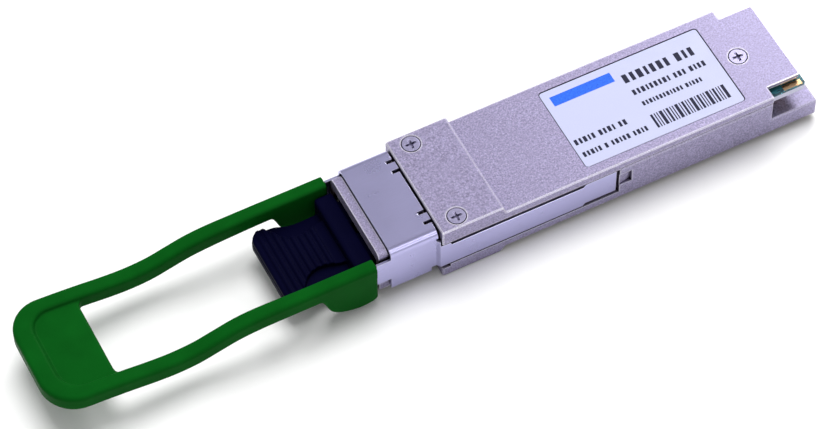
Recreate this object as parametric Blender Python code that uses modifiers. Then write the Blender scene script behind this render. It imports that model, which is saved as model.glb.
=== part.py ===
"""Pluggable optical transceiver module with a duplex fibre receptacle, a pull tab and a dust plug.

Drawn lying as it is handled with the label side up. The datum is the insertion stop shoulder
(X = 0) and the underside of the in-cage segment (Z = 0), in millimetres. +X points to the card
edge, +Y across, +Z up. place() moves the datum so that the origin is the middle of the
bounding box's bottom, and turns millimetres into metres.
"""
import math

import bmesh
import bpy
import numpy as np
from mathutils import Vector

MM = 0.001

# ---- driving dimensions, in millimetres on the datum frame ----
HALF_WIDTH = 9.175          # module 18.35 wide
REAR_HEIGHT = 8.5           # in-cage segment
REAR_LENGTH = 52.4          # stop shoulder to rear end
HEAD_FRONT = -10.4          # front face of the head of cover and base
HEAD_TOP = 9.88
HEAD_BOTTOM = -0.9
RIM_FRONT = -20.0           # front of the die-cast nose, 72.4 from the rear end
RIM_TOP = 9.0
NOSE_HALF = 7.75
SEAM_LOW = 6.9              # top of the base's side walls
SEAM_HIGH = 7.15            # underside of the cover's edge
NOTCH_X = 44.68             # corners are cut away behind this
NOTCH_Z = 3.13
STRIP_END = 50.25
STRIP_NEAR = 6.98           # the strip reaches a little further out on the left side
STRIP_FAR = 7.42
STRIP_LOW = 7.8             # underside of the strip over the card edge
SHEET = 0.4                 # latch slider sheet
SLIDER_TOP = 9.5
SADDLE_HALF = 8.5
SADDLE_REAR = -10.75
ARM_STEP = 0.6              # the arms stand this much further out than the saddle's sides
COMB_SLOTS = (4.1, 6.0)     # slots in the saddle's rear edge, one on each side of a bent-down tab
COMB_HALF = 0.27
PORT_PITCH = 6.25
PORT_Z = 4.1
PORT_SIDE = 4.8
CARD_TOP = 7.1
CARD_THICK = 1.0
CARD_HALF = 8.21
CARD_END = 50.75
SCREWS = {
    "cover_screw_front_left": (-7.15, 7.2, HEAD_TOP),
    "cover_screw_front_right": (-7.15, -7.2, HEAD_TOP),
    "cover_screw_rear": (43.7, 0.0, REAR_HEIGHT),
}
SCREW_HEAD_R = 1.36
COUNTERSINK_R = 1.55
CROSS_HALF = 0.2            # half width of the cross recess
SCREW_LENGTH = 5.2
LABEL = (13.9, 40.8, 7.6)   # recess: front, rear, half width
LABEL_CORNER = 0.6
LABEL_GAP = 0.15
TAB_FRONT = -71.5
TAB_HALF = 9.3
CHEEK_BAND = 2.2            # width of each arm beside the plug, and of the cheeks
ARM_BAND = 2.45             # width of each arm beside the finger opening
TAB_RIM = 3.0               # width of the rim round the end pad
TAB_THICK = 2.95
TAB_WINDOW = -60.85
# height of the tab's upper surface along the arms
TAB_TOP = (
    (-71.5, 7.75), (-68.0, 7.5), (-64.0, 7.2), (-60.0, 6.8), (-56.0, 6.3), (-52.5, 6.08),
    (-49.0, 6.35), (-46.0, 7.1), (-43.0, 7.85), (-40.0, 8.2), (-36.0, 8.3), (-20.0, 8.3),
)
CHEEK_REAR = -20.85

SHIFT_X = -(TAB_FRONT + REAR_LENGTH) / 2
SHIFT_Z = -HEAD_BOTTOM


def place(x, y, z):
    return ((x + SHIFT_X) * MM, y * MM, (z + SHIFT_Z) * MM)


# ---- scene, collections and materials ----
for old in list(bpy.data.objects):
    bpy.data.objects.remove(old, do_unlink=True)

PARTS = bpy.data.collections.new("optical_transceiver_module")
CUTTERS = bpy.data.collections.new("cutters")
bpy.context.scene.collection.children.link(PARTS)
bpy.context.scene.collection.children.link(CUTTERS)
CUTTERS.hide_render = True

LOOKS = {
    "die_cast": ((0.62, 0.61, 0.64), 1.0, 0.42),
    "steel": ((0.60, 0.60, 0.64), 1.0, 0.25),
    "screw_steel": ((0.55, 0.55, 0.57), 1.0, 0.3),
    "green_plastic": ((0.012, 0.20, 0.018), 0.0, 0.45),
    "black_plastic": ((0.012, 0.012, 0.02), 0.0, 0.5),
    "label_film": ((0.80, 0.84, 0.92), 0.0, 0.4),
    "board": ((0.01, 0.16, 0.13), 0.0, 0.35),
    "gold": ((0.83, 0.62, 0.25), 1.0, 0.3),
    "ceramic": ((0.90, 0.90, 0.86), 0.0, 0.3),
    "film": ((0.62, 0.33, 0.08), 0.0, 0.4),
    "pad": ((0.45, 0.55, 0.62), 0.0, 0.8),
    "gasket": ((0.10, 0.10, 0.11), 0.0, 0.8),
    "chip": ((0.025, 0.025, 0.028), 0.0, 0.45),
}


def material(node, look):
    colour, metallic, roughness = LOOKS[look]
    made = bpy.data.materials.new(node)
    made.use_nodes = True
    shader = made.node_tree.nodes["Principled BSDF"]
    shader.inputs["Base Color"].default_value = (*colour, 1.0)
    shader.inputs["Metallic"].default_value = metallic
    shader.inputs["Roughness"].default_value = roughness
    made.diffuse_color = (*colour, 1.0)
    return made


# ---- shape helpers ----
def mesh_object(name, points, faces, look=None, smooth=None):
    """An object from points in datum millimetres. With no look it is a cutter or a piece to join."""
    mesh = bpy.data.meshes.new(name)
    mesh.from_pydata([place(*p) for p in points], [], faces)
    work = bmesh.new()
    work.from_mesh(mesh)
    bmesh.ops.remove_doubles(work, verts=work.verts, dist=1e-8)
    bmesh.ops.recalc_face_normals(work, faces=work.faces)
    work.to_mesh(mesh)
    work.free()
    made = bpy.data.objects.new(name, mesh)
    if look:
        PARTS.objects.link(made)
        mesh.materials.append(material(name, look))
    else:
        CUTTERS.objects.link(made)
        made.hide_render = True
        made.display_type = "WIRE"
    if smooth is not None:
        mesh.shade_smooth()
        mesh.set_sharp_from_angle(angle=math.radians(smooth))
    return made


def block(name, x0, x1, y0, y1, z0, z1, look=None):
    points = [(x, y, z) for x in (x0, x1) for y in (y0, y1) for z in (z0, z1)]
    faces = [(0, 1, 3, 2), (4, 6, 7, 5), (0, 4, 5, 1), (2, 3, 7, 6), (0, 2, 6, 4), (1, 5, 7, 3)]
    return mesh_object(name, points, faces, look)


def prism(name, outline, axis, low, high, look=None, smooth=None):
    """An outline pushed along an axis. The outline's pairs are the other two axes, in X, Y, Z order."""
    order = {"X": lambda a, b, c: (c, a, b), "Y": lambda a, b, c: (a, c, b), "Z": lambda a, b, c: (a, b, c)}
    point = order[axis]
    count = len(outline)
    points = [point(a, b, low) for a, b in outline] + [point(a, b, high) for a, b in outline]
    sides = [(i, (i + 1) % count, count + (i + 1) % count, count + i) for i in range(count)]
    ends = [tuple(range(count)), tuple(range(2 * count - 1, count - 1, -1))]
    return mesh_object(name, points, sides + ends, look, smooth)


def turned(name, profile, centre, axis="X", look=None, steps=24, smooth=None):
    """A profile of (position along the axis, radius) turned round it. Ends of radius 0 close to a point."""
    points, rings = [], []
    for along, radius in profile:
        ring = []
        for k in range(1 if radius == 0 else steps):
            turn = 2 * math.pi * k / steps
            a = centre[0] + radius * math.cos(turn)
            b = centre[1] + radius * math.sin(turn)
            ring.append(len(points))
            points.append((along, a, b) if axis == "X" else (a, b, along))
        rings.append(ring)
    faces = []
    for one, two in zip(rings, rings[1:]):
        for k in range(steps):
            n = (k + 1) % steps
            if len(one) == 1:
                faces.append((one[0], two[k], two[n]))
            elif len(two) == 1:
                faces.append((one[k], one[n], two[0]))
            else:
                faces.append((one[k], one[n], two[n], two[k]))
    for ring in (rings[0], rings[-1]):
        if len(ring) > 1:
            faces.append(tuple(ring))
    return mesh_object(name, points, faces, look, smooth)


def boolean(target, other, operation):
    step = target.modifiers.new(f"{operation.lower()}_{other.name}", "BOOLEAN")
    step.operation = operation
    step.solver = "EXACT"
    step.object = other


def cut(target, *others):
    for other in others:
        boolean(target, other, "DIFFERENCE")


def join(target, *others):
    for other in others:
        boolean(target, other, "UNION")


def bevel(target, width, segments=1, angle=40):
    step = target.modifiers.new("edge_rounding", "BEVEL")
    step.width = width * MM
    step.segments = segments
    step.limit_method = "ANGLE"
    step.angle_limit = math.radians(angle)
    return target


def arc(centre, radius, start, end, steps):
    """Points on an arc, angles in degrees, both ends included."""
    turns = [math.radians(start + (end - start) * k / steps) for k in range(steps + 1)]
    return [(centre[0] + radius * math.cos(t), centre[1] + radius * math.sin(t)) for t in turns]


def rounded(x0, x1, y0, y1, radius, steps=3):
    corners = (
        ((x1 - radius, y1 - radius), 0), ((x0 + radius, y1 - radius), 90),
        ((x0 + radius, y0 + radius), 180), ((x1 - radius, y0 + radius), 270),
    )
    return [p for centre, start in corners for p in arc(centre, radius, start, start + 90, steps)]


def along(table, x):
    """A smooth height through the table's stations."""
    xs = [row[0] for row in table]
    zs = [row[1] for row in table]
    if x <= xs[0]:
        return zs[0]
    if x >= xs[-1]:
        return zs[-1]
    i = max(k for k in range(len(xs) - 1) if xs[k] <= x)
    slope = [0.0] * len(xs)
    for k in range(1, len(xs) - 1):
        slope[k] = (zs[k + 1] - zs[k - 1]) / (xs[k + 1] - xs[k - 1])
    slope[0] = (zs[1] - zs[0]) / (xs[1] - xs[0])
    span = xs[i + 1] - xs[i]
    t = (x - xs[i]) / span
    h00 = 2 * t**3 - 3 * t**2 + 1
    h10 = t**3 - 2 * t**2 + t
    h01 = -2 * t**3 + 3 * t**2
    h11 = t**3 - t**2
    return h00 * zs[i] + h10 * span * slope[i] + h01 * zs[i + 1] + h11 * span * slope[i + 1]


# ---- die-cast base, with the nose in one piece ----
def screw_hole(name, x, y, top, bottom):
    """Clearance hole with a countersink that leaves a narrow ring round the screw's head."""
    profile = [(top + 0.5, COUNTERSINK_R), (top - 0.02, COUNTERSINK_R), (top - 0.82, 0.82), (bottom, 0.82)]
    return turned(name, profile, (x, y), "Z", steps=24)


def build_base():
    side = [
        (HEAD_FRONT, HEAD_BOTTOM), (-0.9, HEAD_BOTTOM), (0.0, 0.0), (REAR_LENGTH, 0.0),
        (REAR_LENGTH, NOTCH_Z), (NOTCH_X, NOTCH_Z), (NOTCH_X, SEAM_LOW), (19.0, SEAM_LOW),
        (18.75, 6.7), (HEAD_FRONT, 6.7),
    ]
    base = prism("base_housing", side, "Y", -HALF_WIDTH, HALF_WIDTH, "die_cast")
    bevel(base, 0.18)

    def nose_section(bottom, top, radius):
        corner = (NOSE_HALF - radius, top - radius)
        return ([(-NOSE_HALF, bottom), (NOSE_HALF, bottom)] + arc(corner, radius, 0, 90, 5)
                + arc((-corner[0], corner[1]), radius, 90, 180, 5))

    nose = prism("nose_core", nose_section(0.4, RIM_TOP - 0.2, 0.9), "X", -18.6, -10.7)
    nose_root = block("nose_root", -11.0, -9.6, -NOSE_HALF, NOSE_HALF, 0.4, 6.6)
    rim = prism("nose_rim", nose_section(0.3, RIM_TOP, 1.0), "X", RIM_FRONT, -18.5)
    join(base, nose_root, nose, rim)
    # room for the receptacle, the optics and the card
    cut(
        base,
        block("receptacle_room", -22.0, -9.5, -6.95, 6.95, 1.2, 7.0),
        block("head_room", -10.0, -4.4, -5.7, 5.7, 1.2, 9.0),
        block("optics_room", -4.5, 20.5, -7.35, 7.35, 1.2, 9.0),
        block("deep_room_front", 20.3, 22.5, -7.6, 7.6, 1.2, 9.0),
        block("deep_room_middle", 22.3, 33.2, -7.6, 7.6, 4.3, 9.0),
        block("deep_room_rear", 33.0, 42.0, -7.6, 7.6, 1.2, 9.0),
        block("card_room", 20.2, 43.0, -8.36, 8.36, 5.95, 9.0),
    )
    rear_room = block("rear_room", 41.9, 53.0, -8.36, 8.36, NOTCH_Z, 9.0)
    boss = turned("rear_boss", [(2.5, 1.9), (9.5, 1.9)], (SCREWS["cover_screw_rear"][0], 0), "Z", steps=20)
    cut(rear_room, boss)
    cut(base, rear_room)
    cut(base, block("boss_top", 41.0, 46.5, -2.5, 2.5, 5.95, 9.0))
    for name, (x, y, top) in SCREWS.items():
        thread = [(top - SCREW_LENGTH - 0.3, 0.78), (9.5, 0.78)]
        cut(base, turned(f"{name}_thread", thread, (x, y), "Z", steps=16))
    for s, side_name in ((1, "left"), (-1, "right")):
        low, high = sorted((s * 8.45, s * 9.6))
        cut(base, block(f"slider_channel_{side_name}", -12.0, 18.75, low, high, 1.5, 7.5))
        low, high = sorted((s * 7.25, s * 9.6))
        cut(base, block(f"channel_mouth_{side_name}", -12.0, -9.1, low, high, 0.95, 1.6))
        low, high = sorted((s * 8.27, s * 8.6))
        cut(base, block(f"upper_relief_{side_name}", -8.9, 12.8, low, high, 6.3, 7.5))
        low, high = sorted((s * 7.9, s * 8.6))
        cut(base, block(f"lower_relief_{side_name}", 13.4, 17.4, low, high, 1.5, 2.1))
        # wedge-shaped latch pocket behind the slider's end: deepest at its rear wall
        pocket = [(18.6, s * 9.5), (18.6, s * 9.0), (20.8, s * 8.62), (20.8, s * 9.5)]
        cut(base, prism(f"latch_pocket_{side_name}", pocket, "Z", 3.1, 5.6))
        low, high = sorted((s * 7.65, s * 8.15))
        cut(base, block(f"gasket_groove_{side_name}", 0.6, 18.4, low, high, 6.25, 7.5))
        low, high = sorted((s * 4.15, s * 5.95))
        cut(base, block(f"spring_pocket_{side_name}", -17.7, -10.0, low, high, 7.4, 9.5))
    return base


def build_cover():
    side = [
        (HEAD_FRONT, 6.87), (18.75, 6.87), (19.0, SEAM_HIGH), (NOTCH_X, SEAM_HIGH), (NOTCH_X, REAR_HEIGHT),
        (0.0, REAR_HEIGHT), (-0.5, HEAD_TOP), (HEAD_FRONT, HEAD_TOP),
    ]
    cover = prism("label_cover", side, "Y", -HALF_WIDTH, HALF_WIDTH, "die_cast")
    bevel(cover, 0.15)
    strip = rounded(43.0, STRIP_END, -STRIP_NEAR, STRIP_FAR, 0.4)
    join(cover, prism("rear_strip", strip, "Z", STRIP_LOW, REAR_HEIGHT))
    recess = rounded(LABEL[0], LABEL[1], -LABEL[2], LABEL[2], LABEL_CORNER, 4)
    cut(
        cover,
        block("head_hollow", -9.4, -1.2, -5.7, 5.7, 6.0, 9.05),
        block("optics_hollow", -1.4, 20.4, -7.35, 7.35, 6.0, 7.75),
        block("card_hollow", 20.2, 42.0, -8.36, 8.36, 6.0, 7.75),
        block("card_exit", 41.9, 52.0, -8.36, 8.36, 6.0, 7.3),
        prism("label_recess", recess, "Z", 8.24, 9.2),
    )
    for name, (x, y, top) in SCREWS.items():
        cut(cover, screw_hole(f"{name}_hole", x, y, top, 6.0))
    return cover


# ---- latch slider: one bent sheet, a saddle over the nose with an arm along each side ----
def build_slider():
    mid = SHEET / 2
    top = SLIDER_TOP - mid
    bend_r = 1.0
    side = SADDLE_HALF - mid
    flat = side - bend_r
    # half of the section, from the middle of the saddle down one side: (y, z, key)
    half = [(0.0, top, "top")]
    for slot in COMB_SLOTS:
        half += [(slot - COMB_HALF, top, "top"), (slot + COMB_HALF, top, "top")]
    half += [(y, z, "bend") for y, z in arc((flat, top - bend_r), bend_r, 90, 22.5, 3)]
    half += [
        (side, 8.2, "bend"), (side, 7.7, "side"), (side, 7.2, "side"), (side, 6.6, "arm_top"),
        (side, 4.0, "side"), (side, 3.0, "side"), (side, 1.75, "arm_low"), (side, 0.7, "side"),
    ]
    stations = [
        -25.5, -20.7, -18.4, -11.85, -11.05, SADDLE_REAR, -10.55, -9.1, -8.8, 12.7, 13.1, 17.4, 18.2,
    ]
    count = len(half)

    def wanted(i, j):
        """Whether the sheet covers the cell between stations i, i + 1 and section points j, j + 1."""
        x = (stations[i] + stations[i + 1]) / 2
        z = (half[j][1] + half[j + 1][1]) / 2
        y = (half[j][0] + half[j + 1][0]) / 2
        if x < -20.7:
            return half[j][2] != "top" and 4.0 < z < 7.2
        if x < -18.4:
            return half[j][2] != "top" and 3.0 < z < 7.7
        in_slot = any(abs(y - slot) < COMB_HALF for slot in COMB_SLOTS)
        if half[j][2] == "top" and x > -11.85 and in_slot:
            return False
        if x < -11.05:
            return not (x > -11.85 and z < 1.75)
        if x < SADDLE_REAR:
            return z > 8.2 or 1.75 < z < 7.7
        if x < -10.55:
            return 1.75 < z < 7.7
        return 1.75 < z < 6.6

    points, faces, index = [], [], {}

    def vertex(i, j, s):
        if j == 0:
            s = 1
        key = (i, j, s)
        if key not in index:
            x = stations[i]
            y, z, kind = half[j]
            if kind in ("side", "arm_top", "arm_low"):
                y += ARM_STEP * min(1.0, max(0.0, (x + 11.05) / 0.5))
            if kind == "arm_top":
                z += -0.3 if -8.9 < x < 12.9 else 0.12
            if kind == "arm_low":
                z += 0.35 if x > 12.9 else -0.12
            index[key] = len(points)
            points.append((x, s * y, z))
        return index[key]

    for s in (1, -1):
        for i in range(len(stations) - 1):
            for j in range(count - 1):
                if wanted(i, j):
                    quad = (vertex(i, j, s), vertex(i + 1, j, s))
                    quad += (vertex(i + 1, j + 1, s), vertex(i, j + 1, s))
                    faces.append(quad if s > 0 else quad[::-1])
        # tab bent down at the saddle's rear edge, which bears on the return spring
        edge = stations.index(SADDLE_REAR)
        one, two = vertex(edge, 2, s), vertex(edge, 3, s)
        points.append((SADDLE_REAR, points[one][1], 7.7))
        points.append((SADDLE_REAR, points[two][1], 7.7))
        quad = (one, len(points) - 2, len(points) - 1, two)
        faces.append(quad if s > 0 else quad[::-1])
    slider = mesh_object("latch_slider", points, faces, "steel")
    step = slider.modifiers.new("sheet", "SOLIDIFY")
    step.thickness = SHEET * MM
    step.offset = 0.0
    step.use_even_offset = True
    return slider


# ---- return springs ----
def build_spring(name, y):
    front, rear, radius, wire = -17.45, -11.1, 0.56, 0.13
    centre_z = 8.16
    turns, per_turn, around = 7, 12, 6
    steps = turns * per_turn
    points, faces = [], []
    for k in range(steps + 1):
        turn = 2 * math.pi * k / per_turn
        x = front + wire + (rear - front - 2 * wire) * k / steps
        out = Vector((0, math.cos(turn), math.sin(turn)))
        for m in range(around):
            a = 2 * math.pi * m / around
            spot = out * (radius + wire * math.cos(a))
            points.append((x + wire * math.sin(a), y + spot.y, centre_z + spot.z))
    for k in range(steps):
        for m in range(around):
            n = (m + 1) % around
            faces.append((k * around + m, k * around + n, (k + 1) * around + n, (k + 1) * around + m))
    faces.append(tuple(range(around)))
    faces.append(tuple(range((steps + 1) * around - 1, steps * around - 1, -1)))
    return mesh_object(name, points, faces, "screw_steel", smooth=50)


# ---- pull tab ----
def tab_top(x):
    return along(TAB_TOP, x)


def arm_band(x):
    """Width of the arm: it narrows from the finger opening to the cheeks."""
    share = min(1.0, max(0.0, (x + 42.0) / 12.0))
    return ARM_BAND + (CHEEK_BAND - ARM_BAND) * share * share * (3 - 2 * share)


def tab_outline():
    """Matching outer and inner points round the loop, from the near arm's rear end to the far arm's."""
    outer_r, inner_r = 5.3, 3.2
    inner_half = TAB_HALF - ARM_BAND
    inner_front = TAB_FRONT + TAB_RIM
    straight = [
        -20.9, -30.0, -33.0, -36.0, -38.5, -40.5, -42.5, -44.5, -46.5, -48.5, -50.5, -52.5, -55.0, -58.0,
        -61.0,
    ]
    near = [((x, -TAB_HALF), (x, arm_band(x) - TAB_HALF)) for x in straight]
    for a in range(0, 91, 15):
        t = math.radians(a)
        o = (TAB_FRONT + outer_r - outer_r * math.sin(t), -(TAB_HALF - outer_r) - outer_r * math.cos(t))
        i = (inner_front + inner_r - inner_r * math.sin(t), -(inner_half - inner_r) - inner_r * math.cos(t))
        near.append((o, i))
    far = [((o[0], -o[1]), (i[0], -i[1])) for o, i in reversed(near)]
    return near + far


def build_tab():
    r = 0.62
    c = r * (1 - math.sqrt(0.5))
    points, faces = [], []
    pairs = tab_outline()
    for outer, inner in pairs:
        o, i = Vector(outer), Vector(inner)
        inward = (i - o).normalized()
        ring = ((0, r), (c, c), (r, 0))
        spots = [(o + inward * a, b) for a, b in ring]
        spots += [(i - inward * a, b) for a, b in reversed(ring)]
        for spot, down in spots:
            points.append((spot.x, spot.y, tab_top(spot.x) - down))
        for spot, down in reversed(spots):
            points.append((spot.x, spot.y, tab_top(spot.x) - TAB_THICK + down))
    n = 12
    for k in range(len(pairs) - 1):
        for m in range(n):
            faces.append((k * n + m, k * n + (m + 1) % n, (k + 1) * n + (m + 1) % n, (k + 1) * n + m))
    faces.append(tuple(range(n)))
    faces.append(tuple(range(len(pairs) * n - 1, (len(pairs) - 1) * n - 1, -1)))
    tab = mesh_object("pull_tab", points, faces, "green_plastic", smooth=40)
    # end pad, thinner than the rim on both sides
    rows = [TAB_FRONT + 2.2, -67.5, -65.5, -63.5, TAB_WINDOW]
    half = TAB_HALF - 1.45
    front_half = 4.8
    points, faces = [], []
    for k, x in enumerate(rows):
        y = front_half if k == 0 else half - 0.7 * (k == 1)
        top, low = tab_top(x) - 0.7, tab_top(x) - TAB_THICK + 0.4
        points += [(x, -y, top), (x, y, top), (x, y, low), (x, -y, low)]
    for k in range(len(rows) - 1):
        for m in range(4):
            faces.append((4 * k + m, 4 * k + (m + 1) % 4, 4 * k + 4 + (m + 1) % 4, 4 * k + 4 + m))
    last = 4 * (len(rows) - 1)
    faces += [(0, 1, 2, 3), (last, last + 1, last + 2, last + 3)]
    join(tab, mesh_object("end_pad", points, faces))
    z_low, z_high = tab_top(TAB_WINDOW) - TAB_THICK + 0.45, tab_top(TAB_WINDOW) - 0.75
    edge = TAB_HALF - ARM_BAND
    for s, side_name in ((1, "left"), (-1, "right")):
        fillet = [(TAB_WINDOW - 0.5, s * (edge - 1.0)), (TAB_WINDOW - 0.5, s * (edge + 0.4)),
                  (TAB_WINDOW + 1.0, s * (edge + 0.4)), (TAB_WINDOW + 1.0, s * edge)]
        fillet += [(TAB_WINDOW + 1.0 - a, s * (edge - b)) for a, b in ((0.5, 0.13), (0.87, 0.5), (1.0, 1.0))]
        join(tab, prism(f"window_fillet_{side_name}", fillet, "Z", z_low, z_high))
    # cheeks beside the nose, with a pocket for the slider's tongue
    cheek = [
        (CHEEK_REAR, 7.9), (CHEEK_REAR, 0.9), (-21.3, 0.55), (-23.2, 0.22), (-25.0, 0.35), (-26.8, 1.0),
        (-28.1, 1.9), (-28.8, 3.1), (-29.6, 5.2), (-31.0, 6.2), (-31.0, 7.9),
    ]
    edge = TAB_HALF - CHEEK_BAND
    for s, side_name in ((1, "left"), (-1, "right")):
        low, high = sorted((s * (edge - 0.04), s * (TAB_HALF + 0.04)))
        join(tab, bevel(prism(f"cheek_{side_name}", cheek, "Y", low, high), 0.3, 2))
    for s, side_name in ((1, "left"), (-1, "right")):
        low, high = sorted((s * 7.95, s * 8.65))
        cut(tab, block(f"tongue_pocket_{side_name}", -25.8, -20.0, low, high, 3.8, 7.4))
    return tab


# ---- dust plug ----
def build_plug():
    plug = block("dust_plug", -23.3, -20.3, -6.85, 6.85, 1.3, 6.9, "black_plastic")
    bevel(plug, 0.5, 3)
    ribs = [(-22.6, 3.6), (-22.6, 5.15)]
    for k in range(8):
        x = -25.0 - 1.05 * k
        ribs += [(x, 5.15), (x - 0.12, 5.4), (x - 0.55, 5.4), (x - 0.67, 5.15)]
    ribs += [(-33.6, 5.15), (-34.0, 4.9), (-34.0, 3.6)]
    # ribbed thumb pad with a waist, on a broader plate
    waist = [
        (-22.0, 4.0), (-24.2, 3.9), (-25.4, 3.45), (-26.7, 3.15), (-28.0, 3.2), (-29.2, 3.7), (-30.1, 4.6),
        (-30.9, 5.7),
    ]
    waist += arc((-32.2, 4.95), 1.7, 70, 180, 6)
    pad = prism("thumb_pad", ribs, "Y", -7.2, 7.2)
    pad_outline = prism("thumb_pad_outline", waist + [(x, -y) for x, y in reversed(waist)], "Z", 2.0, 7.0)
    boolean(pad, pad_outline, "INTERSECT")
    broad = [
        (-22.0, 5.9), (-24.2, 5.85), (-26.2, 5.8), (-27.6, 5.9), (-28.6, 6.15), (-29.4, 6.5), (-30.3, 6.72),
    ]
    broad += arc((-32.15, 4.95), 1.85, 85, 180, 6)
    plate = prism("grip_plate", broad + [(x, -y) for x, y in reversed(broad)], "Z", 3.0, 4.4)
    join(plug, plate, pad)
    for s, side_name in ((1, "left"), (-1, "right")):
        y = s * PORT_PITCH / 2
        prong = block(f"prong_{side_name}", -21.0, -13.4, y - 2.15, y + 2.15, PORT_Z - 2.15, PORT_Z + 2.15)
        join(plug, bevel(prong, 0.3))
        cut(plug, turned(f"prong_bore_{side_name}", [(-19.2, 1.6), (-13.0, 1.6)], (y, PORT_Z), steps=20))
    return plug


# ---- duplex receptacle and its barrels ----
def build_receptacle():
    body = block("receptacle_block", -19.7, -11.0, -6.75, 6.75, 1.35, 6.85, "black_plastic")
    for s, side_name in ((1, "left"), (-1, "right")):
        y = s * PORT_PITCH / 2
        half = PORT_SIDE / 2
        cut(body, block(f"port_{side_name}", -20.0, -13.2, y - half, y + half, PORT_Z - half, PORT_Z + half))
        cut(body, block(f"latch_slot_{side_name}", -20.0, -17.9, y - 0.75, y + 0.75, 6.4, 7.0))
        bore = [(-13.5, 1.5), (-12.6, 1.5), (-12.6, 2.35), (-10.5, 2.35)]
        cut(body, turned(f"barrel_seat_{side_name}", bore, (y, PORT_Z), steps=24))
    clip = block("receptacle_clip", -10.85, -10.55, -5.6, 5.6, 1.4, 6.4, "steel")
    for s, side_name in ((1, "left"), (-1, "right")):
        y = s * PORT_PITCH / 2
        slot = [(y - 1.7, 7.0)] + arc((y, PORT_Z), 1.7, 180, 360, 10) + [(y + 1.7, 7.0)]
        cut(clip, prism(f"clip_slot_{side_name}", slot, "X", -11.2, -10.2))
    return body, clip


def build_optics():
    for s, port in ((1, "transmit"), (-1, "receive")):
        y = s * PORT_PITCH / 2
        centre = (y, PORT_Z)
        barrel = [(-17.0, 1.3), (-12.45, 1.3), (-12.45, 2.2), (-11.3, 2.2), (-11.3, 1.5), (-5.7, 1.5)]
        node = turned(f"{port}_port_barrel", barrel, centre, look="steel", steps=24, smooth=40)
        cut(node, turned(f"{port}_barrel_bore", [(-17.5, 0.72), (-8.0, 0.72)], centre, steps=16))
        stub = [(-13.6, 0.5), (-13.4, 0.62), (-8.2, 0.62)]
        turned(f"{port}_fiber_stub", stub, centre, look="ceramic", steps=16, smooth=40)
        body = [(-5.4, 2.0), (-3.7, 2.0)]
        ring = turned(f"{port}_lens_ring", body, centre, look="gold", steps=24, smooth=40)
        cut(ring, turned(f"{port}_lens_bore", [(-6.0, 1.1), (-3.0, 1.1)], centre, steps=16))
        low, high = sorted((s * 0.4, s * 6.85))
        box = block(f"{port}_optical_box", -3.4, 9.6, low, high, 2.0, 5.7, "gold")
        bevel(box, 0.25)
        cut(box, block(f"{port}_box_hollow", -2.7, 8.9, low + 0.7, high - 0.7, 2.8, 6.2))
        cut(box, turned(f"{port}_box_window", [(-4.0, 1.0), (-2.0, 1.0)], centre, steps=16))
        block(f"{port}_box_lid", -3.1, 9.3, low + 0.3, high - 0.3, 5.85, 6.25, "gold")
        # flexible circuit from the box's rear wall up to the card's underside
        path = [(9.75, 3.6), (10.3, 3.6), (10.9, 3.85), (11.5, 4.5), (12.1, 5.3), (12.8, 5.78), (13.6, 5.92),
                (16.6, 5.92)]
        under = [(a, b - 0.16) for a, b in path]
        mid = s * 3.6
        prism(f"{port}_flex_circuit", path + under[::-1], "Y", mid - 2.6, mid + 2.6, "film")


def build_card():
    low = CARD_TOP - CARD_THICK
    outline = [(12.4, -7.15), (20.75, -7.15), (20.75, -CARD_HALF), (CARD_END - 0.4, -CARD_HALF),
               (CARD_END, -CARD_HALF + 0.4)]
    outline += [(x, -y) for x, y in reversed(outline)]
    card = prism("circuit_board", outline, "Z", low, CARD_TOP, "board")
    hole = (SCREWS["cover_screw_rear"][0], 0)
    cut(card, turned("card_hole", [(5.0, 1.05), (8.0, 1.05)], hole, "Z", steps=20))
    chips = {
        "transmit_retimer_chip": (23.6, 29.8, 0.5, 6.7, 5.0, 6.05),
        "receive_retimer_chip": (23.6, 29.8, -6.7, -0.5, 5.0, 6.05),
        "laser_driver_chip": (17.0, 20.4, 1.9, 5.3, 5.3, 6.05),
        "power_converter_chip": (34.8, 38.0, -5.4, -2.0, 5.2, 6.05),
        "power_inductor": (34.8, 38.0, 2.0, 5.2, 4.3, 6.05),
        "microcontroller_chip": (31.0, 36.0, -2.5, 2.5, 7.15, 7.6),
    }
    for name, box in chips.items():
        bevel(block(name, *box, "chip"), 0.08)
    block("chip_thermal_pad", 23.2, 30.2, -6.9, 6.9, 4.35, 4.93, "pad")
    block("optics_thermal_pad", -2.6, 8.8, -6.4, 6.4, 1.28, 1.92, "pad")


def build_screw(name, x, y, top):
    head = top - 0.04
    profile = [(head, SCREW_HEAD_R - 0.05), (head - 0.06, SCREW_HEAD_R), (head - 0.80, 0.68),
               (top - SCREW_LENGTH + 0.35, 0.68), (top - SCREW_LENGTH, 0.35)]
    screw = turned(name, profile, (x, y), "Z", look="screw_steel", steps=24, smooth=35)
    for k, (a, b) in enumerate(((0.85, CROSS_HALF), (CROSS_HALF, 0.85))):
        cut(screw, block(f"{name}_slot_{k}", x - a, x + a, y - b, y + b, head - 0.5, head + 0.5))


# ---- assembly ----
build_base()
build_cover()
slider = build_slider()
build_spring("return_spring_left", 5.05)
build_spring("return_spring_right", -5.05)
tab = build_tab()
plug = build_plug()
build_receptacle()
build_optics()
build_card()
for screw_name, (sx, sy, sz) in SCREWS.items():
    build_screw(screw_name, sx, sy, sz)
label_half = LABEL[2] - LABEL_GAP
label_outline = rounded(
    LABEL[0] + LABEL_GAP, LABEL[1] - LABEL_GAP, -label_half, label_half, LABEL_CORNER - LABEL_GAP, 4
)
prism("cover_label", label_outline, "Z", 8.28, 8.4, "label_film")
for s, side_name in ((1, "left"), (-1, "right")):
    low, high = sorted((s * 7.72, s * 8.08))
    block(f"cover_gasket_{side_name}", 0.8, 18.2, low, high, 6.32, 6.8, "gasket")


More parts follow.
